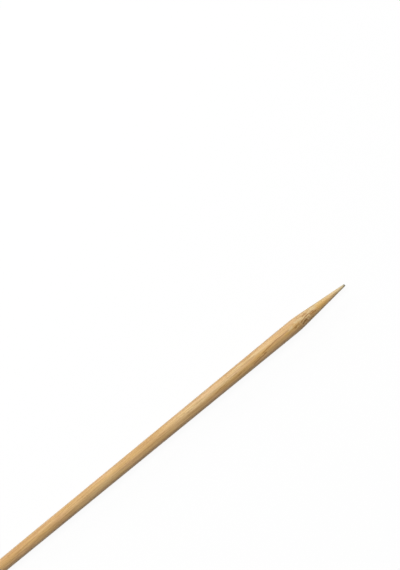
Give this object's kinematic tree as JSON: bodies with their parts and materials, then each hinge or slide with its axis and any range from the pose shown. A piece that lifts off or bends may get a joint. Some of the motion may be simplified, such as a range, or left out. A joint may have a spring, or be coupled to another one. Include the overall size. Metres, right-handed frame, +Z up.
{
  "type": "skewer",
  "caption": "Round bamboo skewer with a long straight conical point at one end and a square-cut butt at the other, for threading and holding food.",
  "frame": {"origin": "on the surface that the skewer lies on, under the middle of its length", "axes": "+X along the skewer towards its point, +Z up"},
  "size_m": [0.2, 0.004, 0.004],
  "materials": {
    "bamboo": "machined and tumbled bare bamboo, matt, with fine fibres along its length"
  },
  "bodies": {
    "root": {"skewer": "bamboo"}
  },
  "joints": []
}
